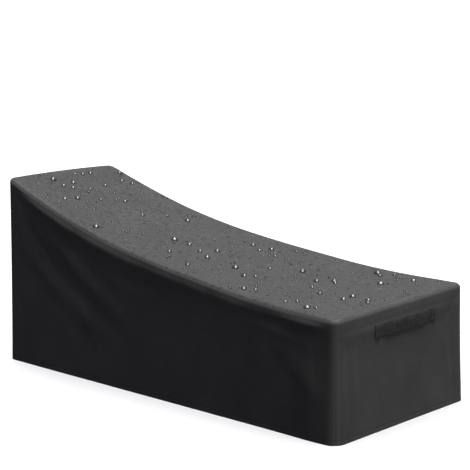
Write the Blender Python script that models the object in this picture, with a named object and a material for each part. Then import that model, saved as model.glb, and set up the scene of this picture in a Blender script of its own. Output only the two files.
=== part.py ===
"""Fitted cover for a chaise lounge: a sewn box of coated cloth, open below, high at the head end.

Metres, +Z up. +X runs from the head end to the foot end, and -Y is the right-hand side.
The origin is on the underside of the top at mid-length, where the cloth is carried from below.
Five panels meet at seams along the edges of the box, and a webbing handle is sewn to the foot panel.

The panels are shaped in the cover's own lengths: `along` from the head end, `across` from the
centreline and the height above the hem. `drop` is how far a point lies below the edge of the top.
"""

import math
from collections import namedtuple

import bmesh
import bpy
from mathutils import Vector

# The box
LENGTH = 2.00
HEAD_WIDTH = 0.680
FOOT_WIDTH = 0.880
CORNER_RADIUS = 0.040  # upright corners, in plan
EDGE_RADIUS = 0.020  # edges of the top
HEM_FLARE = 0.012  # how far the hem stands outside the top's edge
FLARE_POWER = 1.5

# The cloth
CLOTH = 0.0020
HEM_DEPTH = 0.022
HEM_THICKNESS = 0.0034
SEAM_GAP = 0.0003  # between two panels' edges
SEAM_TURN = math.pi / 4  # a seam lies halfway round its rolled edge or upright corner
SETBACK = SEAM_GAP / 2 / EDGE_RADIUS  # the turn between the seam and each panel's edge

# The top is a little higher in its middle than along its seams
SHOULDER_RISE = 0.006
SHOULDER_WIDTH = 0.060
SHOULDER_RUN_OUT = 0.160  # the rise fades this close to the foot end
HEAD_CROWN = 0.006
HEAD_CROWN_RUN = 0.450

# The height of the top's edges above the hem, at even steps from the head end
Station = namedtuple("Station", "along height")
TOP_LINE = (
    Station(0.00, 0.850),
    Station(0.25, 0.759),
    Station(0.50, 0.683),
    Station(0.75, 0.626),
    Station(1.00, 0.586),
    Station(1.25, 0.554),
    Station(1.50, 0.526),
    Station(1.75, 0.511),
    Station(2.00, 0.509),
)

# The top hangs a little out of level: at the head end its right-hand edge is TWIST higher than the line
# above and its left-hand edge as much lower. Past TWIST_END the difference is the other way round.
TWIST = 0.009
TWIST_END = 1.50

# Soft folds: a ridge, or a trough where rise is below zero, along a line on a panel.
# `place` is `along` on a side panel and `across` on an end panel.
Fold = namedtuple("Fold", "place_1 drop_1 place_2 drop_2 rise spread")
RIGHT_FOLDS = (
    Fold(0.12, 0.036, 0.44, 0.046, 0.008, 0.024),  # cloth puffed out under the seam
    Fold(0.36, 0.042, 0.87, 0.048, 0.008, 0.026),
    Fold(0.79, 0.044, 1.26, 0.042, 0.005, 0.022),
    Fold(0.24, 0.088, 0.57, 0.122, -0.006, 0.028),  # the valley below it
    Fold(0.52, 0.118, 0.97, 0.108, -0.004, 0.026),
    Fold(0.29, 0.110, 0.49, 0.206, 0.005, 0.040),  # folds that run down from the head corner
    Fold(0.45, 0.188, 0.81, 0.325, 0.005, 0.050),
    Fold(0.11, 0.132, 0.32, 0.258, -0.005, 0.036),
    Fold(0.28, 0.236, 0.60, 0.324, -0.004, 0.042),
    Fold(0.54, 0.152, 0.73, 0.207, -0.003, 0.036),
    Fold(0.14, 0.266, 0.36, 0.366, 0.004, 0.042),
    Fold(0.32, 0.345, 0.73, 0.434, 0.003, 0.054),
    Fold(1.48, 0.044, 1.86, 0.058, -0.003, 0.024),  # towards the foot
    Fold(1.72, 0.038, 1.95, 0.038, 0.003, 0.018),
    Fold(1.70, 0.140, 1.93, 0.330, 0.003, 0.050),
)
LEFT_FOLDS = (
    Fold(0.14, 0.034, 0.62, 0.042, 0.007, 0.024),
    Fold(0.24, 0.100, 0.70, 0.110, -0.006, 0.026),
    Fold(0.12, 0.140, 0.46, 0.330, -0.006, 0.036),
    Fold(0.30, 0.150, 0.74, 0.340, 0.006, 0.044),
    Fold(1.50, 0.038, 1.88, 0.050, -0.004, 0.022),
    Fold(1.66, 0.170, 1.90, 0.320, 0.004, 0.045),
)
FOOT_FOLDS = (
    Fold(-0.410, 0.058, 0.410, 0.056, -0.0012, 0.012),  # crease under the top's edge
    Fold(-0.372, 0.090, -0.368, 0.430, -0.0014, 0.014),  # upright creases by the corners
    Fold(-0.335, 0.110, -0.330, 0.400, 0.0012, 0.022),
    Fold(0.325, 0.080, 0.355, 0.440, -0.0016, 0.016),
    Fold(0.368, 0.050, 0.322, 0.120, -0.0026, 0.016),
    Fold(0.392, 0.090, 0.395, 0.380, 0.0016, 0.016),
)
HEAD_FOLDS = (
    Fold(-0.250, 0.060, -0.205, 0.420, 0.006, 0.040),
    Fold(0.230, 0.070, 0.170, 0.520, 0.006, 0.045),
    Fold(-0.060, 0.120, -0.030, 0.600, -0.005, 0.050),
)
END_SWELL = 0.35  # a fold's share of its rise at the ends of its line
SEAM_CALM = 0.022  # folds die out this close to a top seam
CORNER_CALM = 0.060  # and this close to an upright corner

# The handle
HANDLE_LENGTH = 0.420
HANDLE_WIDTH = 0.055
HANDLE_THICKNESS = 0.003
HANDLE_OFFSET = 0.017  # from the centreline, to the left
HANDLE_DROP = 0.063  # from the edge of the top to the handle's upper edge
HANDLE_SEWN = 0.035  # length of each sewn end
HANDLE_RAMP = 0.070  # each end of the slack rises over this length
HANDLE_SLACK = 0.0075  # how far its middle stands off the panel

# Spacing of the points
ROLL_STEPS = 2  # over each half of a rolled edge
CORNER_STEPS = 3  # over each half of an upright corner
FOLDED_LENGTH = 0.95  # the stretch at the head end where folds need closer points
CLOSE_STEP = 0.058
WIDE_STEP = 0.115
NEAR_CORNER_OFFSETS = (0.053, 0.066, 0.090)
ACROSS_STEPS = 4  # between those
UNDER_SEAM_DROPS = (0.026, 0.041, 0.060, 0.086, 0.116, 0.150)
DOWN_STEPS = 7  # from there to the hem
HANDLE_STEP = 0.020
STEP_TOLERANCE = 1e-9  # keeps a whole number of steps from rounding up
SHARP_ANGLE = math.radians(40)  # edges that turn further are shaded sharp

COATED_CLOTH = dict(colour=(0.030, 0.030, 0.032), roughness=0.55)
WEBBING = dict(colour=(0.018, 0.018, 0.019), roughness=0.80)


def smooth(share):
    """0 up to share 0, 1 from share 1 on, and a soft step between."""
    share = min(max(share, 0.0), 1.0)
    return share * share * (3 - 2 * share)


def even(start, end, step):
    """Values from start to end, at even steps no wider than step."""
    count = math.ceil((end - start) / step - STEP_TOLERANCE)
    return [start + (end - start) * i / count for i in range(count + 1)]


def station_height(index):
    """Height at a station. One station past either end carries on the curve of the nearest three."""
    last = len(TOP_LINE) - 1
    if index < 0:
        near, middle, far = (TOP_LINE[i].height for i in (0, 1, 2))
    elif index > last:
        near, middle, far = (TOP_LINE[last - i].height for i in (0, 1, 2))
    else:
        return TOP_LINE[index].height
    return 3 * near - 3 * middle + far


def edge_height(along):
    """Height of the top's edge above the hem, on a smooth curve through TOP_LINE."""
    step = TOP_LINE[1].along - TOP_LINE[0].along
    index = min(max(int(along / step), 0), len(TOP_LINE) - 2)
    t = along / step - index
    before, start, end, after = (station_height(index + i) for i in (-1, 0, 1, 2))
    slope_1, slope_2 = (end - before) / 2, (after - start) / 2
    bend = start * (2 * t**3 - 3 * t**2 + 1) + end * (3 * t**2 - 2 * t**3)
    return bend + slope_1 * (t**3 - 2 * t**2 + t) + slope_2 * (t**3 - t**2)


def half_width(along):
    """Half the plan's width. It stays the same along each rounded corner."""
    straight = LENGTH - 2 * CORNER_RADIUS
    share = min(max((along - CORNER_RADIUS) / straight, 0), 1)
    return (HEAD_WIDTH + (FOOT_WIDTH - HEAD_WIDTH) * share) / 2


def round_plan(along, across):
    """Rounds the plan's corners: the point's core, the direction outwards and its reach from the core."""
    core_half = half_width(along) - CORNER_RADIUS
    core = Vector(
        (
            min(max(along, CORNER_RADIUS), LENGTH - CORNER_RADIUS),
            min(max(across, -core_half), core_half),
        )
    )
    out = Vector((along, across)) - core
    reach = max(abs(out.x), abs(out.y))
    return core, out.normalized(), reach


def top_rise(along, across):
    """How far the top stands above its edges: soft shoulders by the side seams, and a crown at the head."""
    inward = min(half_width(along) - abs(across), SHOULDER_WIDTH)
    shoulder = 1 - (1 - inward / SHOULDER_WIDTH) ** 2
    ends = smooth(along / SHOULDER_WIDTH) * smooth((LENGTH - along) / SHOULDER_RUN_OUT)
    crown = 1 - (across / half_width(along)) ** 2
    at_head = 1 - smooth(along / HEAD_CROWN_RUN)
    return SHOULDER_RISE * shoulder * ends + HEAD_CROWN * crown * at_head


def placed(along, across, height):
    """A point of the cover, with its height above the hem drawn up or down by the twist."""
    lift = TWIST * (1 - along / TWIST_END) * -across / half_width(along)
    return Vector((along, across, height * (1 + lift / edge_height(along))))


def fold_lift(folds, place, drop):
    """How far a panel's folds move it outwards at a point."""
    lift = 0.0
    for fold in folds:
        run = Vector((fold.place_2 - fold.place_1, fold.drop_2 - fold.drop_1))
        offset = Vector((place - fold.place_1, drop - fold.drop_1))
        share = min(max(offset.dot(run) / run.length_squared, 0), 1)
        away = (offset - run * share).length / fold.spread
        swell = END_SWELL + (1 - END_SWELL) * math.sin(math.pi * share)
        lift += fold.rise * swell * math.exp(-away * away)
    return lift


def edge_point(core, outward, roll, depth):
    """A point of a rolled edge, under its outer face. roll is 0 on the wall and a quarter turn on the top."""
    spot = core + outward * (CORNER_RADIUS - EDGE_RADIUS * (1 - math.cos(roll)))
    rise = top_rise(spot.x, spot.y) * math.sin(roll)
    height = edge_height(spot.x) + rise - EDGE_RADIUS * (1 - math.sin(roll))
    plan = spot - outward * depth * math.cos(roll)
    return placed(plan.x, plan.y, height - depth * math.sin(roll))


def top_point(along, across, depth):
    core, outward, reach = round_plan(along, across)
    inward = CORNER_RADIUS - reach
    if inward < EDGE_RADIUS:
        return edge_point(core, outward, math.acos(1 - inward / EDGE_RADIUS), depth)
    spot = core + outward * reach
    height = edge_height(spot.x) + top_rise(spot.x, spot.y)
    return placed(spot.x, spot.y, height - depth)


def wall_point(along, across, drop, depth, folds):
    """A point of the upright part of a wall, at a depth under its outer face."""
    core, outward, _ = round_plan(along, across)
    spot = core + outward * CORNER_RADIUS
    edge = edge_height(spot.x)
    if abs(across) > half_width(along) - SEAM_GAP / 2:
        place, from_corner = spot.x, min(along, LENGTH - along)
    else:
        place, from_corner = spot.y, half_width(along) - abs(across)
    calm = smooth((drop - EDGE_RADIUS) / SEAM_CALM) * smooth(from_corner / CORNER_CALM)
    flare = HEM_FLARE * (drop / edge) ** FLARE_POWER
    plan = spot + outward * (flare + fold_lift(folds, place, drop) * calm - depth)
    return placed(plan.x, plan.y, edge - drop)


def mirrored(offsets, length):
    """Offsets from one end, followed by the same ones from the other end."""
    return offsets + [length - offset for offset in reversed(offsets)]


def edge_offsets():
    """Offsets of the top panel's points from an edge of the plan: over the roll, then round the corner."""
    rolls = even(SEAM_TURN + SETBACK, math.pi / 2, SEAM_TURN / ROLL_STEPS)
    rolled = [EDGE_RADIUS * (1 - math.cos(roll)) for roll in rolls]
    turns = even(0, SEAM_TURN, SEAM_TURN / CORNER_STEPS)[:-1]
    turned = [CORNER_RADIUS - (CORNER_RADIUS - rolled[0]) * math.tan(turn) for turn in turns]
    return sorted(rolled + turned)


def wall_edge_offsets():
    """The same for a wall, where each point meets the top panel's point across the seam."""
    offsets = edge_offsets()
    scale = CORNER_RADIUS / (CORNER_RADIUS - offsets[0])
    meeting = [CORNER_RADIUS - (CORNER_RADIUS - offset) * scale for offset in offsets]
    return [SEAM_GAP] + meeting[1:]


def along_lines(edges):
    close = even(CORNER_RADIUS, FOLDED_LENGTH, CLOSE_STEP)[1:]
    wide = even(FOLDED_LENGTH, LENGTH - CORNER_RADIUS, WIDE_STEP)[1:-1]
    return edges + close + wide + mirrored(edges, LENGTH)[len(edges) :]


def across_lines(edges, along):
    """Places across the plan at `along`, closer together by the corners."""
    width = 2 * half_width(along)
    near = edges + list(NEAR_CORNER_OFFSETS)
    middle = [
        near[-1] + (width - 2 * near[-1]) * step / ACROSS_STEPS for step in range(1, ACROSS_STEPS)
    ]
    lines = near + middle + mirrored(near, width)[len(near) :]
    return [line - width / 2 for line in lines]


def material(name, colour, roughness):
    made = bpy.data.materials.new(name)
    made.use_nodes = True
    made.diffuse_color = (*colour, 1)
    shader = made.node_tree.nodes["Principled BSDF"]
    shader.inputs["Base Color"].default_value = (*colour, 1)
    shader.inputs["Roughness"].default_value = roughness
    shader.inputs["Metallic"].default_value = 0
    return made


def sheet(name, outer, inner, finish):
    """A sheet solid from a grid of points on its outer face and the matching points on its inner one."""
    mesh = bmesh.new()
    under = mesh.verts.layers.float_vector.new("under")
    grid = []
    for outer_line, inner_line in zip(outer, inner):
        line = [mesh.verts.new(point) for point in outer_line]
        for vertex, point in zip(line, inner_line):
            vertex[under] = point
        grid.append(line)
    for line, following in zip(grid, grid[1:]):
        for i in range(len(line) - 1):
            mesh.faces.new((line[i], following[i], following[i + 1], line[i + 1]))
    extruded = bmesh.ops.extrude_face_region(mesh, geom=mesh.faces[:])
    for item in extruded["geom"]:
        if isinstance(item, bmesh.types.BMVert):
            item.co = item[under]
    mesh.verts.layers.float_vector.remove(under)
    bmesh.ops.recalc_face_normals(mesh, faces=mesh.faces[:])
    data = bpy.data.meshes.new(name)
    mesh.to_mesh(data)
    mesh.free()
    data.shade_smooth()
    data.set_sharp_from_angle(angle=SHARP_ANGLE)
    data.materials.append(finish)
    made = bpy.data.objects.new(name, data)
    bpy.context.scene.collection.objects.link(made)
    return made


def cover_frame():
    """An empty that carries the panels and puts the origin under the middle of the top."""
    middle = LENGTH / 2
    frame = bpy.data.objects.new("cover", None)
    frame.location = (-middle, 0, CLOTH - top_rise(middle, 0) - edge_height(middle))
    bpy.context.scene.collection.objects.link(frame)
    return frame


def top_panel(finish):
    edges = edge_offsets()

    def face(depth):
        return [
            [top_point(along, across, depth) for across in across_lines(edges, along)]
            for along in along_lines(edges)
        ]

    return sheet("top_panel", face(0), face(CLOTH), finish)


def wall_panel(name, columns, folds, finish):
    """A wall from its top seam to its hem. Each column is a point of the sharp-cornered plan."""
    rolls = even(0, SEAM_TURN - SETBACK, SEAM_TURN / ROLL_STEPS)[:0:-1]

    def drops(edge):
        last = UNDER_SEAM_DROPS[-1]
        hem = edge - HEM_DEPTH
        down = [last + (hem - CLOTH - last) * step / DOWN_STEPS for step in range(1, DOWN_STEPS + 1)]
        return [EDGE_RADIUS, *UNDER_SEAM_DROPS, *down, hem, edge]

    def face(cloth, hem_cloth):
        lines = []
        for along, across in columns:
            core, outward, _ = round_plan(along, across)
            edge = edge_height((core + outward * CORNER_RADIUS).x)
            line = [edge_point(core, outward, roll, cloth) for roll in rolls]
            for drop in drops(edge):
                in_hem = drop >= edge - HEM_DEPTH
                line.append(wall_point(along, across, drop, hem_cloth if in_hem else cloth, folds))
            lines.append(line)
        return lines

    return sheet(name, face(0, 0), face(CLOTH, HEM_THICKNESS), finish)


def side_panel(name, side, folds, finish):
    columns = [(along, side * half_width(along)) for along in along_lines(wall_edge_offsets())]
    return wall_panel(name, columns, folds, finish)


def end_panel(name, along, folds, finish):
    columns = [(along, across) for across in across_lines(wall_edge_offsets(), along)]
    return wall_panel(name, columns, folds, finish)


def handle_strap(finish):
    """A band over the foot panel, sewn down at its ends and slack between them."""
    start, end = HANDLE_OFFSET - HANDLE_LENGTH / 2, HANDLE_OFFSET + HANDLE_LENGTH / 2

    def stand(across):
        from_end = min(across - start, end - across)
        return SEAM_GAP + HANDLE_SLACK * smooth((from_end - HANDLE_SEWN) / HANDLE_RAMP)

    def face(thickness):
        return [
            [
                wall_point(LENGTH, across, drop, -stand(across) - thickness, FOOT_FOLDS)
                for drop in even(HANDLE_DROP, HANDLE_DROP + HANDLE_WIDTH, HANDLE_WIDTH / 2)
            ]
            for across in even(start, end, HANDLE_STEP)
        ]

    return sheet("handle_strap", face(HANDLE_THICKNESS), face(0), finish)


def main():
    for old in list(bpy.data.objects):
        bpy.data.objects.remove(old, do_unlink=True)
    cloth = material("coated_cloth", **COATED_CLOTH)
    webbing = material("webbing", **WEBBING)
    panels = (
        top_panel(cloth),
        side_panel("side_panel_right", -1, RIGHT_FOLDS, cloth),
        side_panel("side_panel_left", 1, LEFT_FOLDS, cloth),
        end_panel("head_panel", 0, HEAD_FOLDS, cloth),
        end_panel("foot_panel", LENGTH, FOOT_FOLDS, cloth),
        handle_strap(webbing),
    )
    frame = cover_frame()
    for panel in panels:
        panel.parent = frame


main()
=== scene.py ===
"""Looks for the fitted lounge cover: fine cloth panels, stitches and water in place of its plain solids.

Metres, in the solids' own frame: +X runs from the head end to the foot end, -Y is the right-hand side.
The panels are shaped in the cover's own lengths: `along` from the head end, `across` from the
centreline and the height above the hem. `drop` is how far a point lies below the edge of the top,
and `down` is how far it lies from the top's seam, measured over the cloth.
"""

import math
from collections import namedtuple

import bpy
import numpy as np
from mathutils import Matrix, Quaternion, Vector, noise


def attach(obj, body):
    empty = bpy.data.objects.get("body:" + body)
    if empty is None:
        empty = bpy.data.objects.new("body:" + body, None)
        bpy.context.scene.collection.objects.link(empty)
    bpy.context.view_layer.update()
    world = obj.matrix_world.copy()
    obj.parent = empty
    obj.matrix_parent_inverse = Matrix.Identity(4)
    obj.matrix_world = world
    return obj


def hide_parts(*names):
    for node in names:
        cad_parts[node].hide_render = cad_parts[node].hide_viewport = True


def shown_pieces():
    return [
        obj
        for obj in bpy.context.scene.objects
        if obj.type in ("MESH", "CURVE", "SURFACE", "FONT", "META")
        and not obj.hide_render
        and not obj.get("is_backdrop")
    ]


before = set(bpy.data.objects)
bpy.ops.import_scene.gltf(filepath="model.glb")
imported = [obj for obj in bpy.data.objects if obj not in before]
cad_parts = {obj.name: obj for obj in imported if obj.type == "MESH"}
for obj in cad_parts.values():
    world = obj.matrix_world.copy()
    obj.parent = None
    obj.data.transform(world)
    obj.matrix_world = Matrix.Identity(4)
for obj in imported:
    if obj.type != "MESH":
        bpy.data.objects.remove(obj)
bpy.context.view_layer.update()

# ---------------------------------------------------------------- the cover's sizes, as its solids have them

LENGTH = 2.00
HEAD_WIDTH = 0.680
FOOT_WIDTH = 0.880
CORNER_RADIUS = 0.040
EDGE_RADIUS = 0.020
HEM_FLARE = 0.012
FLARE_POWER = 1.5
SEAM_GAP = 0.0003
SEAM_TURN = math.pi / 4
SHOULDER_RISE = 0.006
SHOULDER_WIDTH = 0.060
SHOULDER_RUN_OUT = 0.160
HEAD_CROWN = 0.006
HEAD_CROWN_RUN = 0.450
SOLID_CLOTH = 0.0020

STATION_STEP = 0.25
TOP_LINE = (0.850, 0.759, 0.683, 0.626, 0.586, 0.554, 0.526, 0.511, 0.509)
TWIST = 0.009
TWIST_END = 1.50

Fold = namedtuple("Fold", "place_1 drop_1 place_2 drop_2 rise spread")
RIGHT_FOLDS = (
    Fold(0.12, 0.036, 0.44, 0.046, 0.008, 0.024),  # cloth puffed out under the seam
    Fold(0.36, 0.042, 0.87, 0.048, 0.008, 0.026),
    Fold(0.79, 0.044, 1.26, 0.042, 0.005, 0.022),
    Fold(0.24, 0.088, 0.57, 0.122, -0.006, 0.028),  # the valley below it
    Fold(0.52, 0.118, 0.97, 0.108, -0.004, 0.026),
    Fold(0.29, 0.110, 0.49, 0.206, 0.005, 0.040),  # folds that run down from the head corner
    Fold(0.45, 0.188, 0.81, 0.325, 0.005, 0.050),
    Fold(0.11, 0.132, 0.32, 0.258, -0.005, 0.036),
    Fold(0.28, 0.236, 0.60, 0.324, -0.004, 0.042),
    Fold(0.54, 0.152, 0.73, 0.207, -0.003, 0.036),
    Fold(0.14, 0.266, 0.36, 0.366, 0.004, 0.042),
    Fold(0.32, 0.345, 0.73, 0.434, 0.003, 0.054),
    Fold(1.48, 0.044, 1.86, 0.058, -0.003, 0.024),  # towards the foot
    Fold(1.72, 0.038, 1.95, 0.038, 0.003, 0.018),
    Fold(1.70, 0.140, 1.93, 0.330, 0.003, 0.050),
)
LEFT_FOLDS = (
    Fold(0.14, 0.034, 0.62, 0.042, 0.007, 0.024),
    Fold(0.24, 0.100, 0.70, 0.110, -0.006, 0.026),
    Fold(0.12, 0.140, 0.46, 0.330, -0.006, 0.036),
    Fold(0.30, 0.150, 0.74, 0.340, 0.006, 0.044),
    Fold(1.50, 0.038, 1.88, 0.050, -0.004, 0.022),
    Fold(1.66, 0.170, 1.90, 0.320, 0.004, 0.045),
)
FOOT_FOLDS = (
    Fold(-0.410, 0.058, 0.410, 0.056, -0.0012, 0.012),  # crease under the top's edge
    Fold(-0.372, 0.090, -0.368, 0.430, -0.0014, 0.014),  # upright creases by the corners
    Fold(-0.335, 0.110, -0.330, 0.400, 0.0012, 0.022),
    Fold(0.325, 0.080, 0.355, 0.440, -0.0016, 0.016),
    Fold(0.368, 0.050, 0.322, 0.120, -0.0026, 0.016),
    Fold(0.392, 0.090, 0.395, 0.380, 0.0016, 0.016),
)
HEAD_FOLDS = (
    Fold(-0.250, 0.060, -0.205, 0.420, 0.006, 0.040),
    Fold(0.230, 0.070, 0.170, 0.520, 0.006, 0.045),
    Fold(-0.060, 0.120, -0.030, 0.600, -0.005, 0.050),
)
END_SWELL = 0.35
CORNER_CALM = 0.060

HANDLE_LENGTH = 0.420
HANDLE_WIDTH = 0.055
HANDLE_OFFSET = 0.017
HANDLE_DROP = 0.063
HANDLE_SEWN = 0.035
HANDLE_RAMP = 0.070

# ---------------------------------------------------------------- sizes that only the looks have

CLOTH = 0.0010
HEM_CLOTH = 0.0024
HEM_DEPTH = 0.022
HEM_STEP = 0.0215  # from the hem up to where its cloth is single
HEM_STITCHES = 0.019  # from the hem up to its row of stitches
HEM_STITCHES_INSET = 0.006  # where the row stops short of the upright seams
SEAM_CALM_START = 0.008  # how far below the top's edge the walls' folds start
SEAM_CALM = 0.026  # and over what drop they swell
SEAM_DIP = 0.0007  # how far both edges turn in at a seam
SEAM_DIP_WIDTH = 0.0034
CORNER_DIP = 0.0004  # and at the upright corners
HANDLE_SLACK = 0.0032  # how far the handle's band stands off in its middle
WEBBING = 0.0016  # how thick it is, and twice that where its ends are turned under
THREAD = 0.0005  # its radius
STITCH_LENGTH = 0.0032
STITCH_PITCH = 0.0044

# Finer creases between the folds, in the same columns
Crease = Fold
RIGHT_CREASES = (
    Crease(0.060, 0.050, 0.175, 0.150, -0.0014, 0.012),
    Crease(0.085, 0.085, 0.120, 0.330, 0.0014, 0.018),
    Crease(0.170, 0.070, 0.300, 0.165, -0.0012, 0.012),
    Crease(0.330, 0.110, 0.430, 0.250, -0.0014, 0.014),
    Crease(0.395, 0.095, 0.610, 0.150, 0.0012, 0.014),
    Crease(0.560, 0.125, 0.700, 0.255, 0.0014, 0.016),
    Crease(0.220, 0.205, 0.330, 0.300, 0.0015, 0.016),
    Crease(0.640, 0.070, 0.900, 0.085, -0.0012, 0.012),
    Crease(0.930, 0.075, 1.180, 0.080, -0.0012, 0.014),
    Crease(1.200, 0.062, 1.460, 0.066, 0.0010, 0.016),
    Crease(0.480, 0.330, 0.640, 0.520, 0.0012, 0.022),
    Crease(0.070, 0.400, 0.110, 0.720, -0.0012, 0.020),
    Crease(1.880, 0.070, 1.905, 0.300, -0.0012, 0.014),
    Crease(1.550, 0.090, 1.860, 0.120, 0.0012, 0.016),
    Crease(1.870, 0.060, 1.870, 0.520, 0.0080, 0.065),  # the side turns in slowly towards the foot
    Crease(1.760, 0.080, 1.760, 0.520, 0.0060, 0.130),
    Crease(1.180, 0.042, 1.900, 0.042, 0.0040, 0.020),  # and stays puffed out under the seam
)
LEFT_CREASES = (
    Crease(0.080, 0.060, 0.190, 0.210, -0.0018, 0.012),
    Crease(0.200, 0.070, 0.380, 0.160, 0.0016, 0.012),
    Crease(0.420, 0.100, 0.560, 0.260, -0.0018, 0.014),
    Crease(0.620, 0.120, 0.760, 0.300, 0.0016, 0.016),
    Crease(0.900, 0.060, 1.220, 0.074, -0.0014, 0.012),
    Crease(0.090, 0.380, 0.130, 0.700, 0.0014, 0.018),
    Crease(1.870, 0.060, 1.900, 0.320, -0.0014, 0.012),
    Crease(1.860, 0.060, 1.860, 0.520, 0.0110, 0.065),
)
FOOT_CREASES = (
    Crease(-0.430, 0.074, 0.430, 0.074, 0.0040, 0.038),  # cloth puffed out under the seam
    Crease(-0.392, 0.090, -0.388, 0.440, 0.0005, 0.010),
    Crease(-0.300, 0.150, -0.294, 0.330, -0.0005, 0.014),
    Crease(0.305, 0.160, 0.330, 0.310, -0.0006, 0.013),
    Crease(-0.190, 0.170, -0.120, 0.420, 0.0007, 0.032),
    Crease(0.110, 0.160, 0.160, 0.430, 0.0007, 0.032),
)
HEAD_CREASES = (
    Crease(-0.300, 0.060, -0.240, 0.300, -0.0018, 0.014),
    Crease(0.280, 0.070, 0.200, 0.340, -0.0018, 0.014),
    Crease(-0.120, 0.070, 0.100, 0.085, 0.0014, 0.012),
    Crease(0.020, 0.200, 0.060, 0.700, 0.0014, 0.024),
)

# Slow unevenness of hanging cloth
Cloud = namedtuple("Cloud", "size rise")
WALL_CLOUDS = (Cloud(0.260, 0.0012), Cloud(0.075, 0.00040), Cloud(0.024, 0.00010))
TOP_CLOUDS = (Cloud(0.340, 0.0010), Cloud(0.090, 0.00030), Cloud(0.026, 0.00008))
BAND_CLOUDS = (Cloud(0.060, 0.0009), Cloud(0.022, 0.00035))
CLOUD_CALM = 0.030  # they die out this close to a seam

# What the thread does to the cloth beside it
PUCKER_PITCH = 0.021
PUCKER_RISE = 0.0004
PUCKER_REACH = 0.014
PUCKER_DRIFT = 1.6  # how far the puckers wander along a seam, in radians of their own waves
LONG_DRIFT = 17.0  # the two slow waves that they wander with, in radians per metre
SHORT_DRIFT = 41.0
SHORT_DRIFT_SHARE = 0.7
STITCH_PULL = 0.0005  # how deep the hem's stitches draw in the cloth
STITCH_PULL_WIDTH = 0.0022
ROPING_PITCH = 0.017  # slanted ripples that the stitches leave in the hem
ROPING_RISE = 0.0002
ROPING_DRIFT = 2.2
ROPING_WAVE = 23.0  # the slow wave that they wander with, in radians per metre

# Where the cloth is rubbed: beside the seams and at the hem
SEAM_WEAR_MIDDLE = 0.005
SEAM_WEAR_WIDTH = 0.005
HEM_WEAR = 0.8
HEM_WEAR_WIDTH = 0.004

# Water that stands on the top: the larger beads listed one by one, and many small ones scattered between
# them
Bead = namedtuple("Bead", "along across width")
BEADS = (
    Bead(0.08, 0.07, 0.019),
    Bead(0.07, 0.03, 0.016),
    Bead(0.20, 0.10, 0.018),
    Bead(0.21, -0.01, 0.017),
    Bead(0.22, 0.26, 0.020),
    Bead(0.18, 0.23, 0.019),
    Bead(0.31, -0.04, 0.016),
    Bead(0.09, -0.13, 0.029),
    Bead(0.11, 0.29, 0.025),
    Bead(0.14, -0.05, 0.024),
    Bead(0.15, -0.12, 0.019),
    Bead(0.18, -0.09, 0.019),
    Bead(0.08, 0.12, 0.022),
    Bead(0.26, -0.22, 0.019),
    Bead(0.27, -0.15, 0.024),
    Bead(0.36, 0.07, 0.020),
    Bead(0.51, 0.03, 0.020),
    Bead(0.54, -0.30, 0.030),
    Bead(0.64, 0.19, 0.026),
    Bead(0.80, -0.07, 0.029),
    Bead(0.88, -0.06, 0.026),
    Bead(0.91, -0.22, 0.022),
    Bead(0.97, -0.09, 0.022),
    Bead(1.01, -0.02, 0.026),
    Bead(1.03, 0.20, 0.025),
    Bead(1.05, -0.13, 0.028),
    Bead(1.08, -0.29, 0.022),
    Bead(1.12, 0.22, 0.026),
    Bead(1.10, 0.16, 0.019),
    Bead(1.22, -0.14, 0.030),
    Bead(1.20, 0.15, 0.018),
    Bead(1.31, -0.02, 0.018),
    Bead(1.32, -0.20, 0.025),
    Bead(1.35, -0.16, 0.018),
    Bead(1.42, 0.07, 0.030),
    Bead(1.44, -0.34, 0.024),
    Bead(1.48, -0.31, 0.018),
    Bead(1.55, 0.00, 0.024),
    Bead(1.60, 0.06, 0.026),
    Bead(1.62, 0.04, 0.020),
    Bead(1.60, -0.09, 0.018),
    Bead(1.64, 0.31, 0.030),
    Bead(1.67, 0.29, 0.019),
    Bead(1.67, -0.35, 0.018),
    Bead(1.68, -0.14, 0.020),
    Bead(1.70, -0.31, 0.020),
    Bead(1.71, 0.34, 0.019),
    Bead(1.76, 0.17, 0.028),
    Bead(1.79, -0.36, 0.029),
    Bead(1.82, -0.34, 0.020),
    Bead(1.81, -0.15, 0.024),
    Bead(1.81, -0.09, 0.028),
    Bead(1.83, 0.31, 0.022),
    Bead(1.89, -0.09, 0.022),
    Bead(1.91, -0.12, 0.018),
)
BEAD_HEIGHT = 0.48  # of its width
BEAD_CAP = math.radians(14)  # its flat cap, and how far its skin turns from there down to the cloth
BEAD_SKIRT = math.radians(102)
BEAD_LOBE = 0.07  # how uneven its outline is, with two lobes and with three
BEAD_SKEW = 0.04
BEAD_SINK = 0.0003
SMALL_BEADS = 1100
SMALL_BEAD_WIDTHS = (0.0030, 0.0130)
SMALL_BEAD_HEIGHT = 0.36
SMALL_BEAD_CROWDING = 0.85  # below 1, more of them lie towards the foot
SMALL_BEAD_POWER = 2.8  # the higher, the fewer of them are wide
BEAD_EDGE = 0.030  # no small bead lies closer to the top's edge
BEAD_SEED = 20
LARGE_GRID = (8, 20)  # rings of points on a bead, and points in a ring
SMALL_GRID = (4, 9)

# Spacing of the points
CLOSE = 0.0075
CORNER_STEP = 0.0055
CORNER_LINES = (SEAM_GAP, 0.0012, 0.0026, 0.0044)
CORNER_LINES_END = 0.0075
SEAM_LINES = (0.0010, 0.0022, 0.0036, 0.0052, 0.0075, 0.0100, 0.0128)
WALL_ROWS = 98
ROW_CROWDING = 1.15  # above 1, rows lie closer together towards the seam
HEM_LINES = (
    *(0.0285, 0.0245, 0.0220, 0.0205, 0.0190, 0.0175, 0.0160),
    *(0.0130, 0.0095, 0.0060, 0.0030, 0.0012, 0.0),
)
BAND_STEP = 0.0025
BAND_EDGE_LINES = (0.0, 0.0005, 0.0012, 0.0022, 0.0036)
NORMAL_REACH = 0.0008
TINY = 1e-12


# ---------------------------------------------------------------- the cover's form


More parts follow.
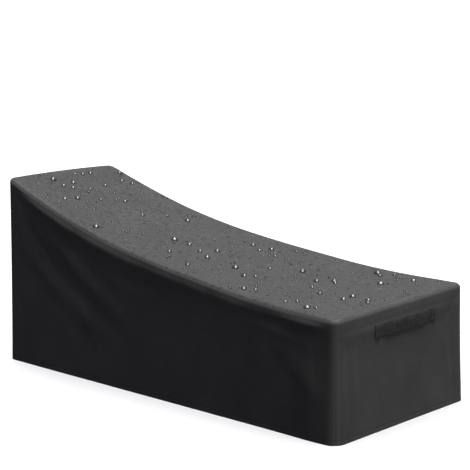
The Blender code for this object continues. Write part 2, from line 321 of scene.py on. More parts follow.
def smooth(share):
    share = np.clip(share, 0.0, 1.0)
    return share * share * (3 - 2 * share)


def even(start, end, step):
    return np.linspace(start, end, max(2, math.ceil((end - start) / step) + 1))


def edge_height(along):
    """Height of the top's edge above the hem, on a smooth curve through TOP_LINE."""
    line = np.array(TOP_LINE)
    before_first = 3 * line[0] - 3 * line[1] + line[2]
    after_last = 3 * line[-1] - 3 * line[-2] + line[-3]
    heights = np.concatenate([[before_first], line, [after_last]])
    index = np.clip((along / STATION_STEP).astype(int), 0, len(line) - 2)
    t = along / STATION_STEP - index
    before, start, end, after = (heights[index + i] for i in range(4))
    slope_1, slope_2 = (end - before) / 2, (after - start) / 2
    bend = start * (2 * t**3 - 3 * t**2 + 1) + end * (3 * t**2 - 2 * t**3)
    return bend + slope_1 * (t**3 - 2 * t**2 + t) + slope_2 * (t**3 - t**2)


def half_width(along):
    straight = LENGTH - 2 * CORNER_RADIUS
    share = np.clip((along - CORNER_RADIUS) / straight, 0, 1)
    return (HEAD_WIDTH + (FOOT_WIDTH - HEAD_WIDTH) * share) / 2


def round_plan(along, across):
    """Rounds the plan's corners: the points' core, the direction outwards and their reach from the core."""
    core_half = half_width(along) - CORNER_RADIUS
    core = np.stack(
        [np.clip(along, CORNER_RADIUS, LENGTH - CORNER_RADIUS), np.clip(across, -core_half, core_half)],
        axis=-1,
    )
    out = np.stack([along, across], axis=-1) - core
    reach = np.abs(out).max(axis=-1)
    outward = out / np.maximum(np.linalg.norm(out, axis=-1, keepdims=True), TINY)
    return core, outward, reach


def top_rise(along, across):
    inward = np.minimum(half_width(along) - np.abs(across), SHOULDER_WIDTH)
    shoulder = 1 - (1 - inward / SHOULDER_WIDTH) ** 2
    ends = smooth(along / SHOULDER_WIDTH) * smooth((LENGTH - along) / SHOULDER_RUN_OUT)
    crown = 1 - (across / half_width(along)) ** 2
    at_head = 1 - smooth(along / HEAD_CROWN_RUN)
    return SHOULDER_RISE * shoulder * ends + HEAD_CROWN * crown * at_head


def fold_lift(folds, place, drop):
    """How far the folds in a table move a panel outwards."""
    lift = np.zeros_like(place)
    for fold in folds:
        run = np.array([fold.place_2 - fold.place_1, fold.drop_2 - fold.drop_1])
        offset = np.stack([place - fold.place_1, drop - fold.drop_1], axis=-1)
        share = np.clip(offset @ run / (run @ run), 0, 1)
        away = np.linalg.norm(offset - share[..., None] * run, axis=-1) / fold.spread
        swell = END_SWELL + (1 - END_SWELL) * np.sin(math.pi * share)
        lift += fold.rise * swell * np.exp(-away * away)
    return lift


MIDDLE = LENGTH / 2
EDGE_IN_MIDDLE = float(edge_height(np.array([MIDDLE]))[0])
ORIGIN_HEIGHT = EDGE_IN_MIDDLE + float(top_rise(np.array([MIDDLE]), 0.0)[0]) - SOLID_CLOTH
FLOOR = -ORIGIN_HEIGHT


def to_frame(along, across, height):
    """Points in the solids' frame, with their heights above the hem drawn up or down by the twist."""
    lift = TWIST * (1 - along / TWIST_END) * -across / half_width(along)
    twisted = height * (1 + lift / edge_height(along))
    return np.stack([along - MIDDLE, across, twisted - ORIGIN_HEIGHT], axis=-1)


def clouds(place, height, layers, seed):
    """Slow noise at each place of a panel: the sum of layers that each have a size and a rise."""
    total = np.zeros(place.size)
    for layer in layers:
        spots = np.stack([place.ravel() / layer.size, height.ravel() / layer.size], axis=-1)
        values = [noise.noise(Vector((spot[0], spot[1], seed))) for spot in spots]
        total += layer.rise * np.array(values)
    return total.reshape(place.shape)


def pucker(place, from_seam, seed):
    """Small waves that a seam's thread draws into the cloth beside it."""
    drift = np.sin(place * LONG_DRIFT + seed) + SHORT_DRIFT_SHARE * np.sin(place * SHORT_DRIFT + 2 * seed)
    wave = np.sin(2 * math.pi * place / PUCKER_PITCH + PUCKER_DRIFT * drift)
    return PUCKER_RISE * wave * np.exp(-from_seam / PUCKER_REACH)


def hollow(distance, width):
    """1 on a line and none past its width."""
    return np.exp(-((distance / width) ** 2))


def dip(from_seam, deep=SEAM_DIP):
    """The groove where two panels' edges turn in."""
    return -deep * hollow(from_seam, SEAM_DIP_WIDTH)


def seam_wear(from_seam):
    return hollow(from_seam - SEAM_WEAR_MIDDLE, SEAM_WEAR_WIDTH)


def with_normals(surface, u, v, facing):
    """Points of a surface, and its normals there, outwards."""
    slope_u = surface(u + NORMAL_REACH, v) - surface(u - NORMAL_REACH, v)
    slope_v = surface(u, v + NORMAL_REACH) - surface(u, v - NORMAL_REACH)
    normal = np.cross(slope_u, slope_v) * facing
    return surface(u, v), normal / np.linalg.norm(normal, axis=-1, keepdims=True)


# ---------------------------------------------------------------- meshes


def grid_normals(points):
    """Unit normals of a grid of points."""
    normal = np.cross(np.gradient(points, axis=0), np.gradient(points, axis=1))
    return normal / np.maximum(np.linalg.norm(normal, axis=-1, keepdims=True), TINY)


def grid_faces(rows, columns, first, flip):
    index = first + np.arange(rows * columns).reshape(rows, columns)
    corners = [index[:-1, :-1], index[1:, :-1], index[1:, 1:], index[:-1, 1:]]
    return np.stack(corners[::-1] if flip else corners, axis=-1).reshape(-1, 4)


def rim_of(rows, columns):
    index = np.arange(rows * columns).reshape(rows, columns)
    return np.concatenate([index[:-1, 0], index[-1, :-1], index[:0:-1, -1], index[0, :0:-1]])


def new_object(name, points, faces, finish):
    data = bpy.data.meshes.new(name)
    data.from_pydata([tuple(p) for p in points], [], [tuple(int(i) for i in f) for f in faces])
    data.update()
    data.shade_smooth()
    data.materials.append(finish)
    made = bpy.data.objects.new(name, data)
    bpy.context.scene.collection.objects.link(made)
    return made


def cloth_piece(name, outer, thickness, weave, wear, facing, finish):
    """A thin sheet from a grid of points on its outer face, with the weave's coordinates in metres."""
    outer, thickness, weave, wear = (values[::facing] for values in (outer, thickness, weave, wear))
    rows, columns = outer.shape[:2]
    inner = outer - grid_normals(outer) * thickness[..., None]
    count = rows * columns
    rim = rim_of(rows, columns)
    following = np.roll(rim, -1)
    sides = np.stack([rim, rim + count, following + count, following], axis=-1)
    skins = [grid_faces(rows, columns, 0, False), grid_faces(rows, columns, count, True)]
    faces = np.concatenate([*skins, sides])
    made = new_object(name, np.concatenate([outer.reshape(-1, 3), inner.reshape(-1, 3)]), faces, finish)
    data = made.data
    where = np.concatenate([weave.reshape(-1, 2)] * 2)
    loops = np.zeros(len(data.loops), np.int32)
    data.loops.foreach_get("vertex_index", loops)
    data.uv_layers.new(name="cloth").data.foreach_set("uv", where[loops].astype(np.float32).ravel())
    worn = data.attributes.new("wear", "FLOAT", "POINT")
    worn.data.foreach_set("value", np.concatenate([wear.ravel()] * 2).astype(np.float32))
    return made


def copies(points, faces):
    """Many equal small meshes as one: their points in one array, and one shape's faces for each."""
    count, size = points.shape[:2]
    shifted = [[index + size * copy for index in face] for copy in range(count) for face in faces]
    return points.reshape(-1, 3), shifted


def tube_faces(rings, sides):
    """Faces of a closed tube of rings, with a flat face at each end."""
    walls = []
    for ring in range(rings - 1):
        for side in range(sides):
            following = (side + 1) % sides
            low, high = ring * sides, (ring + 1) * sides
            walls.append((low + side, low + following, high + following, high + side))
    last = (rings - 1) * sides
    return walls + [tuple(range(sides))[::-1], tuple(range(last, last + sides))]


# ---------------------------------------------------------------- materials


class Nodes:
    """Short calls for building one material's node tree."""

    def __init__(self, name):
        self.material = bpy.data.materials.new(name)
        self.material.use_nodes = True
        self.tree = self.material.node_tree
        self.shader = self.tree.nodes["Principled BSDF"]

    def add(self, kind, **settings):
        node = self.tree.nodes.new("ShaderNode" + kind)
        for key, value in settings.items():
            setattr(node, key, value)
        return node

    def plug(self, value, socket):
        if isinstance(value, bpy.types.NodeSocket):
            self.tree.links.new(value, socket)
        else:
            socket.default_value = value

    def finish(self, **values):
        """Sets or links the shader's inputs, which are named in small letters with underscores."""
        by_name = {socket.name.lower().replace(" ", "_"): socket for socket in self.shader.inputs}
        for key, value in values.items():
            self.plug(value, by_name[key])
        return self.material

    def maths(self, operation, *values):
        node = self.add("Math", operation=operation)
        for value, socket in zip(values, node.inputs):
            self.plug(value, socket)
        return node.outputs[0]

    def noise(self, vector, scale, detail=2.0, roughness=0.5):
        node = self.add("TexNoise")
        self.plug(vector, node.inputs["Vector"])
        for key, value in (("Scale", scale), ("Detail", detail), ("Roughness", roughness)):
            node.inputs[key].default_value = value
        return node.outputs["Fac"]

    def between(self, value, low, high, to_low, to_high):
        node = self.add("MapRange")
        for value_in, socket in zip((value, low, high, to_low, to_high), node.inputs):
            self.plug(value_in, socket)
        return node.outputs[0]

    def mixed(self, factor, colour_1, colour_2):
        node = self.add("Mix", data_type="RGBA")
        node.inputs["Factor"].default_value = 0
        self.plug(factor, node.inputs["Factor"])
        for colour, socket in ((colour_1, node.inputs["A"]), (colour_2, node.inputs["B"])):
            self.plug((*colour, 1) if isinstance(colour, tuple) else colour, socket)
        return node.outputs["Result"]

    def bump(self, height, distance, strength=1.0, under=None):
        node = self.add("Bump")
        node.inputs["Strength"].default_value = strength
        node.inputs["Distance"].default_value = distance
        self.plug(height, node.inputs["Height"])
        if under is not None:
            self.plug(under, node.inputs["Normal"])
        return node.outputs["Normal"]

    def weave(self, pitch_u, pitch_v):
        """Over and under of a plain weave, from 0 to 1, on the cloth's own coordinates."""
        parts = self.add("SeparateXYZ")
        self.plug(self.add("UVMap", uv_map="cloth").outputs["UV"], parts.inputs[0])
        along = self.maths("SINE", self.maths("MULTIPLY", parts.outputs["X"], math.pi / pitch_u))
        across = self.maths("SINE", self.maths("MULTIPLY", parts.outputs["Y"], math.pi / pitch_v))
        return self.maths("MULTIPLY_ADD", self.maths("MULTIPLY", along, across), 0.5, 0.5)


CLOTH_DARK = (0.0243, 0.0241, 0.0234)
CLOTH_LIGHT = (0.0330, 0.0328, 0.0318)
CLOTH_DAMP = (0.0122, 0.0121, 0.0117)
CLOTH_GRAIN = (0.0455, 0.0452, 0.0440)
CLOTH_WORN = (0.0560, 0.0560, 0.0562)
CLOTH_THREADS = 0.0011  # from one thread to the next
TOP_DAMP_SHARE = 0.85


def coated_cloth(name, damp_share):
    """The cover's cloth, with darker damp patches where `damp_share` is above 0."""
    nodes = Nodes(name)
    place = nodes.add("TexCoord").outputs["Object"]
    wear = nodes.add("Attribute", attribute_name="wear").outputs["Fac"]
    blotch = nodes.noise(place, scale=5.0, detail=3.0)
    patches = nodes.noise(place, scale=48.0, detail=3.0, roughness=0.6)
    damp = nodes.between(patches, 0.50, 0.62, 0, damp_share)
    grain = nodes.noise(place, scale=240.0)
    dry = nodes.mixed(nodes.between(blotch, 0.3, 0.7, 0, 1), CLOTH_DARK, CLOTH_LIGHT)
    base = nodes.mixed(damp, dry, CLOTH_DAMP)
    fuzzed = nodes.mixed(nodes.between(grain, 0.35, 0.75, 0, 0.35), base, CLOTH_GRAIN)
    rough = nodes.maths("MULTIPLY_ADD", damp, -0.10, nodes.between(blotch, 0.3, 0.7, 0.55, 0.63))
    crinkle = nodes.noise(place, scale=55.0, detail=3.0, roughness=0.55)
    creased = nodes.bump(crinkle, distance=0.0010, strength=0.5)
    weave = nodes.weave(CLOTH_THREADS, CLOTH_THREADS)
    return nodes.finish(
        base_color=nodes.mixed(nodes.maths("MULTIPLY", wear, 0.03), fuzzed, CLOTH_WORN),
        roughness=nodes.maths("MULTIPLY_ADD", wear, 0.06, rough),
        specular_ior_level=0.25,
        sheen_weight=0.06,
        sheen_roughness=0.45,
        normal=nodes.bump(weave, distance=0.00012, strength=0.6, under=creased),
    )


WEBBING_DARK = (0.0090, 0.0090, 0.0092)
WEBBING_LIGHT = (0.0200, 0.0200, 0.0203)
WEBBING_RIB = 0.0026
WEBBING_THREADS = 0.0016


def webbing():
    nodes = Nodes("webbing_look")
    place = nodes.add("TexCoord").outputs["Object"]
    blotch = nodes.noise(place, scale=38.0, detail=3.0)
    ribs = nodes.weave(WEBBING_RIB, WEBBING_THREADS)
    soft = nodes.bump(nodes.noise(place, scale=70.0, detail=3.0), distance=0.0012, strength=0.5)
    return nodes.finish(
        base_color=nodes.mixed(nodes.between(blotch, 0.3, 0.7, 0, 1), WEBBING_DARK, WEBBING_LIGHT),
        roughness=nodes.between(ribs, 0, 1, 0.86, 0.70),
        specular_ior_level=0.25,
        sheen_weight=0.05,
        normal=nodes.bump(ribs, distance=0.0005, strength=0.8, under=soft),
    )


THREAD_DARK = (0.014, 0.014, 0.0145)
THREAD_LIGHT = (0.032, 0.032, 0.033)


def thread():
    nodes = Nodes("thread_look")
    twist = nodes.noise(nodes.add("TexCoord").outputs["Object"], scale=2600.0, detail=1.0)
    return nodes.finish(
        base_color=nodes.mixed(twist, THREAD_DARK, THREAD_LIGHT),
        roughness=nodes.between(twist, 0, 1, 0.45, 0.65),
        normal=nodes.bump(twist, distance=0.0001, strength=0.5),
    )


WATER_DARK = (0.012, 0.012, 0.013)
WATER_LIGHT = (0.026, 0.026, 0.028)


def dark_water():
    """Water as it looks on dark cloth: nearly as dark as the cloth, with a bright gloss."""
    nodes = Nodes("water_look")
    ripple = nodes.noise(nodes.add("TexCoord").outputs["Object"], scale=180.0, detail=1.0)
    return nodes.finish(
        base_color=nodes.mixed(ripple, WATER_DARK, WATER_LIGHT),
        ior=1.33,
        roughness=nodes.between(ripple, 0, 1, 0.02, 0.08),
        coat_weight=0.6,
        coat_roughness=0.03,
        normal=nodes.bump(ripple, distance=0.0003, strength=0.3),
    )


# ---------------------------------------------------------------- the top panel


def line_of(offsets, length, step):
    """Places along a length: the offsets from both its ends, and even steps between."""
    middle = even(offsets[-1], length - offsets[-1], step)[1:-1]
    return np.concatenate([offsets, middle, (length - offsets)[::-1]])


def top_offsets():
    """Offsets of the top panel's points from an edge of the plan."""
    from_seam = np.array([SEAM_GAP / 2, *SEAM_LINES, EDGE_RADIUS * (math.pi / 2 - SEAM_TURN)])
    rolled = EDGE_RADIUS * (1 - np.cos(SEAM_TURN + from_seam / EDGE_RADIUS))
    return np.concatenate([rolled, even(EDGE_RADIUS, CORNER_RADIUS, CORNER_STEP)[1:]])


def top_from_seam(along, across):
    """Distance from the nearest seam of the top, over the cloth."""
    _, _, reach = round_plan(along, across)
    inward = CORNER_RADIUS - reach
    roll = np.arccos(np.clip(1 - inward / EDGE_RADIUS, 0, 1))
    rolled = EDGE_RADIUS * (roll - SEAM_TURN) + np.maximum(inward - EDGE_RADIUS, 0)
    to_side = half_width(along) - np.abs(across)
    deep = np.minimum(to_side, np.minimum(along, LENGTH - along))
    return np.where(reach > 0, rolled, deep)


TOP_SEED = 3.7


def top_surface(along, across):
    """Points of the top's outer face, with its slow unevenness and the pull of its seams."""
    core, outward, reach = round_plan(along, across)
    spot = core + outward * reach[..., None]
    cosine = np.clip(1 - (CORNER_RADIUS - reach) / EDGE_RADIUS, 0, 1)
    sine = np.sqrt(1 - cosine**2)
    rise = top_rise(spot[..., 0], spot[..., 1]) * sine
    from_seam = top_from_seam(along, across)
    lift = clouds(along, across, TOP_CLOUDS, TOP_SEED) * smooth(from_seam / CLOUD_CALM)
    lift += dip(from_seam) + pucker(along + across / 2, from_seam, TOP_SEED)
    height = edge_height(spot[..., 0]) + rise - EDGE_RADIUS * (1 - sine) + lift
    return to_frame(spot[..., 0], spot[..., 1], height)


def top_panel(finish):
    offsets = top_offsets()
    places = line_of(offsets, LENGTH, CLOSE)
    count = len(line_of(offsets, FOOT_WIDTH, CLOSE))
    lines = []
    for half in half_width(places):
        middle = np.linspace(offsets[-1], 2 * half - offsets[-1], count - 2 * len(offsets) + 2)[1:-1]
        lines.append(np.concatenate([offsets, middle, (2 * half - offsets)[::-1]]) - half)
    across = np.array(lines)
    along = np.repeat(places[:, None], count, axis=1)
    surface = top_surface(along, across)
    wear = seam_wear(top_from_seam(along, across))
    weave = np.stack([along, across], axis=-1)
    return cloth_piece("top_cloth", surface, np.full(along.shape, CLOTH), weave, wear, 1, finish)


# ---------------------------------------------------------------- the four walls

# `end` is the place along the cover of an end wall and None for a side wall. Where `side` is -1 or 1, a
# side wall hangs there. `facing` turns the walls' normals outwards.
Wall = namedtuple("Wall", "name node end side facing folds creases seed")
RIGHT = Wall("side_cloth_right", "side_panel_right", None, -1, -1, RIGHT_FOLDS, RIGHT_CREASES, 11.3)
LEFT = Wall("side_cloth_left", "side_panel_left", None, 1, 1, LEFT_FOLDS, LEFT_CREASES, 23.9)
FOOT = Wall("foot_cloth", "foot_panel", LENGTH, 0, -1, FOOT_FOLDS, FOOT_CREASES, 37.1)
HEAD = Wall("head_cloth", "head_panel", 0.0, 0, 1, HEAD_FOLDS, HEAD_CREASES, 51.7)
WALLS = (RIGHT, LEFT, FOOT, HEAD)
ROLLED_AWAY = EDGE_RADIUS * (1 - SEAM_TURN)  # `drop` is this much more than `down` on a wall's upright part


def plan_of(wall, place):
    if wall.end is None:
        return place, wall.side * half_width(place)
    return np.full_like(place, wall.end), place


def ends_of(wall):
    """Where a wall starts and stops, in its own places."""
    if wall.end is None:
        return 0.0, LENGTH
    half = float(half_width(np.array([wall.end]))[0])
    return -half, half


def cloth_reach(wall, place):
    """How far the cloth reaches from the seam to the hem."""
    core, outward, _ = round_plan(*plan_of(wall, place))
    return edge_height((core + outward * CORNER_RADIUS)[..., 0]) - ROLLED_AWAY


def wall_surface(wall, place, down):
    """Points of a wall's outer face, with its folds, creases and the pull of its seams and stitches."""
    core, outward, _ = round_plan(*plan_of(wall, place))
    start, stop = ends_of(wall)
    from_corner = np.minimum(place - start, stop - place)
    roll = np.maximum(SEAM_TURN - down / EDGE_RADIUS, 0)
    spot = core + outward * (CORNER_RADIUS - EDGE_RADIUS * (1 - np.cos(roll)))[..., None]
    edge = edge_height(spot[..., 0])
    rise = top_rise(spot[..., 0], spot[..., 1]) * np.sin(roll)
    drop = np.where(roll > 0, EDGE_RADIUS * (1 - np.sin(roll)), down + ROLLED_AWAY)
    rounded = spot[..., 0] if wall.end is None else spot[..., 1]
    calm = smooth((drop - SEAM_CALM_START) / SEAM_CALM) * smooth(from_corner / CORNER_CALM)
    folds = fold_lift(wall.folds, rounded, drop) + fold_lift(wall.creases, rounded, drop)
    lift = HEM_FLARE * (np.maximum(drop, 0) / edge) ** FLARE_POWER + folds * calm
    lift += clouds(place, down, WALL_CLOUDS, wall.seed) * smooth(np.minimum(down, from_corner) / CLOUD_CALM)
    lift += dip(down) + dip(from_corner, CORNER_DIP)
    lift += pucker(place, down, wall.seed)
    from_hem = edge - drop
    drift = ROPING_DRIFT * np.sin(place * ROPING_WAVE)
    ripple = np.sin(2 * math.pi * (place + from_hem / 2) / ROPING_PITCH + drift)
    lift += ROPING_RISE * ripple * smooth((HEM_LINES[0] - from_hem) / HEM_DEPTH)
    lift -= STITCH_PULL * hollow(from_hem - HEM_STITCHES, STITCH_PULL_WIDTH)
    plan = spot + outward * lift[..., None]
    return to_frame(plan[..., 0], plan[..., 1], edge + rise - drop)


def wall_rows(reach):
    """Distances over the cloth from the seam to the hem, for each column's own reach."""
    near = np.array([SEAM_GAP / 2, *SEAM_LINES, EDGE_RADIUS * SEAM_TURN])
    shares = np.linspace(0, 1, WALL_ROWS - len(near) - len(HEM_LINES) + 2)[1:-1]
    hem_start = reach - HEM_LINES[0]
    middle = near[-1] + (hem_start - near[-1])[:, None] * shares**ROW_CROWDING
    hem = reach[:, None] - np.array(HEM_LINES)
    return np.concatenate([np.repeat(near[None], len(reach), axis=0), middle, hem], axis=1)


def wall_panel(wall, finish):
    start, stop = ends_of(wall)
    offsets = np.concatenate([CORNER_LINES, even(CORNER_LINES_END, CORNER_RADIUS, CORNER_STEP)])
    place = start + line_of(offsets, stop - start, CLOSE)
    reach = cloth_reach(wall, place)
    down = wall_rows(reach)
    place = np.repeat(place[:, None], down.shape[1], axis=1)
    from_hem = reach[:, None] - down
    from_corner = np.minimum(place - start, stop - place)
    wear = seam_wear(np.minimum(down, from_corner)) + HEM_WEAR * hollow(from_hem, HEM_WEAR_WIDTH)
    thickness = np.where(from_hem < HEM_STEP, HEM_CLOTH, CLOTH)
    surface = wall_surface(wall, place, down)
    weave = np.stack([place, down], axis=-1)
    return cloth_piece(wall.name, surface, thickness, weave, np.clip(wear, 0, 1), wall.facing, finish)


# ---------------------------------------------------------------- the handle

HANDLE_START = HANDLE_OFFSET - HANDLE_LENGTH / 2
HANDLE_END = HANDLE_OFFSET + HANDLE_LENGTH / 2
TURN_RUN = 0.003  # over which the band goes from double to single
TURNED_UNDER = HANDLE_SEWN + TURN_RUN  # the band is double this far from its ends
BAND_ROUNDING = 0.0005
BAND_ROUNDING_WIDTH = 0.0012


def band_layers(across):
    """1 where the band is single and 2 where its end is turned under."""
    from_end = np.minimum(across - HANDLE_START, HANDLE_END - across)
    return 1 + smooth((TURNED_UNDER - from_end) / TURN_RUN)


def handle_surface(across, drop):
    """Points of the band's outer face, sewn down at its ends and slack between them."""

    def foot(place, down):
        return wall_surface(FOOT, place, down)

    base, normal = with_normals(foot, across, drop - ROLLED_AWAY, FOOT.facing)
    from_end = np.minimum(across - HANDLE_START, HANDLE_END - across)
    from_edge = np.minimum(drop - HANDLE_DROP, HANDLE_DROP + HANDLE_WIDTH - drop)
    slack = smooth((from_end - HANDLE_SEWN) / HANDLE_RAMP)
    stand = SEAM_GAP + HANDLE_SLACK * slack + WEBBING * band_layers(across)
    stand += clouds(across, drop, BAND_CLOUDS, FOOT.seed) * slack
    for away in (from_edge, from_end):
        stand -= BAND_ROUNDING * hollow(away, BAND_ROUNDING_WIDTH)
    return base + normal * stand[..., None]


def handle(finish):
    drops = HANDLE_DROP + line_of(np.array(BAND_EDGE_LINES), HANDLE_WIDTH, BAND_STEP)
    places = HANDLE_START + line_of(np.array(BAND_EDGE_LINES), HANDLE_LENGTH, BAND_STEP)
    across, drop = np.meshgrid(places, drops, indexing="ij")
    outer = handle_surface(across, drop)
    weave = np.stack([across, drop], axis=-1)
    thickness = WEBBING * band_layers(across)
    return cloth_piece("handle_band", outer, thickness, weave, np.zeros(across.shape), FOOT.facing, finish)


# ---------------------------------------------------------------- stitches

STITCH_SIDES = 6
StitchRing = namedtuple("StitchRing", "share radius height")  # radius and height in thread radii
STITCH_RINGS = (
    StitchRing(0.00, 0.45, -0.60),
    StitchRing(0.15, 0.85, 0.10),
    StitchRing(0.50, 1.00, 0.45),
    StitchRing(0.85, 0.85, 0.10),
    StitchRing(1.00, 0.45, -0.60),
)


def stitch_marks(length):
    """Where the stitches of a row start."""
    count = int(length / STITCH_PITCH)
    spare = length - count * STITCH_PITCH + STITCH_PITCH - STITCH_LENGTH
    return spare / 2 + STITCH_PITCH * np.arange(count)


def stitch_points(surface, starts, stops, facing):
    """Points of rounded stitches that run between pairs of places on a surface."""
    first, normal = with_normals(surface, starts[:, 0], starts[:, 1], facing)
    second = surface(stops[:, 0], stops[:, 1])
    run = second - first
    sideways = np.cross(normal, run)
    sideways /= np.linalg.norm(sideways, axis=-1, keepdims=True)
    turns = 2 * math.pi * np.arange(STITCH_SIDES) / STITCH_SIDES
    rings = []
    for ring in STITCH_RINGS:
        centre = first + run * ring.share + normal * ring.height * THREAD
        for turn in turns:
            spoke = sideways * math.cos(turn) + normal * math.sin(turn)
            rings.append(centre + spoke * ring.radius * THREAD)
    return np.stack(rings, axis=1)


def hem_stitches(wall, finish):
    """The row of stitches along a wall's hem."""
    start, stop = ends_of(wall)
    marks = start + HEM_STITCHES_INSET + stitch_marks(stop - start - 2 * HEM_STITCHES_INSET)

    def row(place):
        return np.stack([place, cloth_reach(wall, place) - HEM_STITCHES], axis=-1)

    def surface(place, down):
        return wall_surface(wall, place, down)

    points = stitch_points(surface, row(marks), row(marks + STITCH_LENGTH), wall.facing)
    shape = copies(points, tube_faces(len(STITCH_RINGS), STITCH_SIDES))
    return new_object(wall.name.replace("cloth", "hem_stitches"), *shape, finish)


BOX_INSET = 0.0045  # from the band's edges to the stitches that hold its ends


def handle_stitches(finish):
    """A box of stitches with a cross in it at each end of the handle."""
    top, bottom = HANDLE_DROP + BOX_INSET, HANDLE_DROP + HANDLE_WIDTH - BOX_INSET
    lines = []
    for outer_end, inner_end in (
        (HANDLE_START + BOX_INSET, HANDLE_START + HANDLE_SEWN - BOX_INSET / 2),
        (HANDLE_END - BOX_INSET, HANDLE_END - HANDLE_SEWN + BOX_INSET / 2),
    ):
        corners = ((outer_end, top), (inner_end, top), (inner_end, bottom), (outer_end, bottom))
        lines += zip(corners, corners[1:] + corners[:1])
        lines += [(corners[0], corners[2]), (corners[1], corners[3])]
    starts, stops = [], []
    for first, second in lines:
        first, second = np.array(first), np.array(second)
        length = np.linalg.norm(second - first)
        direction = (second - first) / length
        marks = stitch_marks(length)[:, None]
        starts.append(first + direction * marks)
        stops.append(first + direction * (marks + STITCH_LENGTH))
    points = stitch_points(handle_surface, np.concatenate(starts), np.concatenate(stops), FOOT.facing)
    shape = copies(points, tube_faces(len(STITCH_RINGS), STITCH_SIDES))
    return new_object("handle_stitches", *shape, finish)


# ---------------------------------------------------------------- water on the top


def scattered_beads():
    """Small beads, more of them towards the foot, clear of each other and of the larger ones."""
    chance = np.random.default_rng(BEAD_SEED)
    beads = np.array(BEADS)
    narrowest, widest = SMALL_BEAD_WIDTHS
    while len(beads) < len(BEADS) + SMALL_BEADS:
        along = LENGTH * chance.random() ** SMALL_BEAD_CROWDING
        across = (2 * chance.random() - 1) * float(half_width(np.array([along]))[0])
        width = narrowest + (widest - narrowest) * chance.random() ** SMALL_BEAD_POWER
        inward = top_from_seam(np.array([along]), np.array([across]))[0]
        away = np.hypot(beads[:, 0] - along, beads[:, 1] - across) - (beads[:, 2] + width) / 2
        if inward > BEAD_EDGE and away.min() > 0:
            beads = np.vstack([beads, (along, across, width)])
    return beads[len(BEADS) :]


def bead_points(beads, height, rings, sides, seed):
    """Points of domed beads on the top, uneven in plan. Their skins turn in where they meet the cloth."""
    chance = np.random.default_rng(seed)
    count = len(beads)
    spot, normal = with_normals(top_surface, beads[:, 0], beads[:, 1], 1)
    forward = np.cross(normal, np.array([0.0, -1.0, 0.0]))
    forward /= np.linalg.norm(forward, axis=-1, keepdims=True)
    sideways = np.cross(normal, forward)
    half, tall = beads[:, 2:3] / 2, beads[:, 2:3] * height
    lobe, skew = chance.random((2, count, 1)) * 2 * math.pi
    lowest = math.cos(BEAD_SKIRT)
    points = []
    for turn in np.linspace(BEAD_CAP, BEAD_SKIRT, rings):
        up = tall * (math.cos(turn) - lowest) / (1 - lowest) - BEAD_SINK
        for side in 2 * math.pi * np.arange(sides) / sides:
            uneven = 1 + BEAD_LOBE * np.sin(2 * side + lobe) + BEAD_SKEW * np.sin(3 * side + skew)
            out = half * math.sin(turn) * uneven
            points.append(spot + normal * up + out * (forward * math.cos(side) + sideways * math.sin(side)))
    return np.stack(points, axis=1)


def water(finish):
    """The larger beads as one piece and the small ones as another."""
    large = bead_points(np.array(BEADS), BEAD_HEIGHT, *LARGE_GRID, BEAD_SEED)
    small = bead_points(scattered_beads(), SMALL_BEAD_HEIGHT, *SMALL_GRID, BEAD_SEED + 1)
    return (
        new_object("water_beads", *copies(large, tube_faces(*LARGE_GRID)), finish),
        new_object("water_specks", *copies(small, tube_faces(*SMALL_GRID)), finish),
    )


# ---------------------------------------------------------------- stage, light and camera

FLOOR_REACH = 30.0
FLOOR_SEEN = (0.93, 0.93, 0.93)
FLOOR_BOUNCE = (0.04, 0.04, 0.05)  # what the floor sends back to the cover


def floor():
    nodes = Nodes("floor_look")
    seen = nodes.add("LightPath").outputs["Is Camera Ray"]
    colour = nodes.mixed(seen, FLOOR_BOUNCE, FLOOR_SEEN)
    finish = nodes.finish(base_color=colour, roughness=0.9, specular_ior_level=0.0)
    corners = [(x * FLOOR_REACH, y * FLOOR_REACH, FLOOR) for x, y in ((-1, -1), (1, -1), (1, 1), (-1, 1))]
    made = new_object("floor", corners, [(0, 1, 2, 3)], finish)
    made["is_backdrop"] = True
    return made


ROOM_SEEN = (1.0, 1.0, 1.0)
ROOM_LIGHT = (0.045, 0.037, 0.085)


def room():
    """A plain white room, dimmer as a light than as a background."""
    world = bpy.data.worlds.new("room")
    world.use_nodes = True
    bpy.context.scene.world = world
    tree = world.node_tree
    colour = tree.nodes.new("ShaderNodeMix")
    colour.data_type = "RGBA"
    colour.inputs["A"].default_value = (*ROOM_LIGHT, 1)
    colour.inputs["B"].default_value = (*ROOM_SEEN, 1)
    seen = tree.nodes.new("ShaderNodeLightPath").outputs["Is Camera Ray"]
    tree.links.new(seen, colour.inputs["Factor"])
    tree.links.new(colour.outputs["Result"], tree.nodes["Background"].inputs["Color"])


Lamp = namedtuple("Lamp", "name towards spread strength")
COVER_LAMPS = (
    Lamp("key", (0.14, 0.08, 1.00), 24, 7.8),
    Lamp("foot_fill", (0.90, -0.40, 0.22), 30, 1.75),
    Lamp("back_light", (-0.50, 0.66, 0.42), 40, 0.17),
)
REAR_LAMP = Lamp("rear_light", (-0.80, 0.50, 0.30), 60, 1.3)
BEAD_LAMP = Lamp("bead_light", (0.58, -0.50, 0.64), 60, 9.0)
FLOOR_LAMP = Lamp("floor_light", (0.0, 0.0, 1.0), 110, 5.0)


def shine(lamp, lit):
    """A wide soft sun whose middle lies in the direction `towards`. It lights only the things in `lit`."""
    data = bpy.data.lights.new(lamp.name, "SUN")
    data.angle = math.radians(lamp.spread)
    data.energy = lamp.strength
    made = bpy.data.objects.new(lamp.name, data)
    made.rotation_euler = Vector(lamp.towards).to_track_quat("Z", "Y").to_euler()
    bpy.context.scene.collection.objects.link(made)
    group = bpy.data.collections.new("lit_by_" + lamp.name)
    for thing in lit:
        group.objects.link(thing)
    made.light_linking.receiver_collection = group


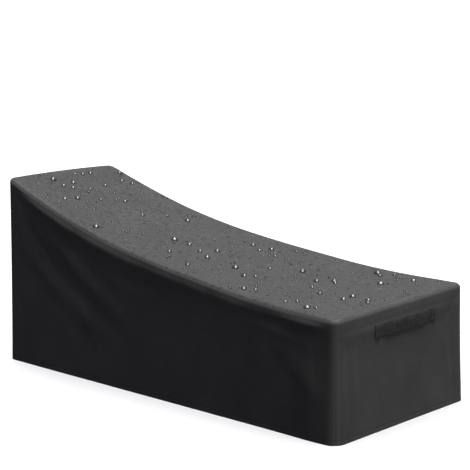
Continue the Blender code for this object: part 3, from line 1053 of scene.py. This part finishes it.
CAMERA_ALONG = 6.237
CAMERA_ACROSS = -5.894
CAMERA_HEIGHT = 2.182  # above the hem
CAMERA_YAW = math.radians(-41.094)
CAMERA_PITCH = math.radians(10.932)
CAMERA_ROLL = math.radians(-0.295)
CAMERA_LENS = 139.8
CAMERA_SENSOR = 36


def camera():
    data = bpy.data.cameras.new("camera")
    data.sensor_width = CAMERA_SENSOR
    data.lens = CAMERA_LENS
    made = bpy.data.objects.new("camera", data)
    made.location = (CAMERA_ALONG - MIDDLE, CAMERA_ACROSS, CAMERA_HEIGHT - ORIGIN_HEIGHT)
    level = math.cos(CAMERA_PITCH)
    forward = Vector((math.sin(CAMERA_YAW) * level, math.cos(CAMERA_YAW) * level, -math.sin(CAMERA_PITCH)))
    made.rotation_mode = "QUATERNION"
    made.rotation_quaternion = forward.to_track_quat("-Z", "Y") @ Quaternion((0, 0, 1), CAMERA_ROLL)
    bpy.context.scene.collection.objects.link(made)
    bpy.context.scene.camera = made


# ---------------------------------------------------------------- everything put together


SAMPLES = 201  # places along an edge at which its cloth is measured


def dress():
    """Every cloth piece in place of its solid."""
    cloth, sewing = coated_cloth("coated_cloth_look", 0.0), thread()
    top = top_panel(coated_cloth("damp_cloth_look", TOP_DAMP_SHARE))
    pieces = [(top, "top_panel", "coated_cloth")]
    for wall in WALLS:
        panel = wall_panel(wall, cloth)
        row = hem_stitches(wall, sewing)
        pieces += [(panel, wall.node, "coated_cloth"), (row, None, "coated_cloth")]
        start, stop = ends_of(wall)
        reach = cloth_reach(wall, np.linspace(start, stop, SAMPLES))
    band = handle(webbing())
    box = handle_stitches(sewing)
    pieces += [(band, "handle_strap", "webbing"), (box, None, "webbing")]
    for piece, node, slot in pieces:
        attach(piece, "root")
        if node:
            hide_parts(node)
    for drops in water(dark_water()):
        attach(drops, "root")


dress()
ground = floor()
room()
bpy.context.scene.view_settings.view_transform = "Standard"
for lamp in COVER_LAMPS:
    shine(lamp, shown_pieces())
shine(REAR_LAMP, [bpy.data.objects[name] for name in (HEAD.name, LEFT.name)])
shine(BEAD_LAMP, [bpy.data.objects["water_beads"]])
shine(FLOOR_LAMP, [ground])
camera()
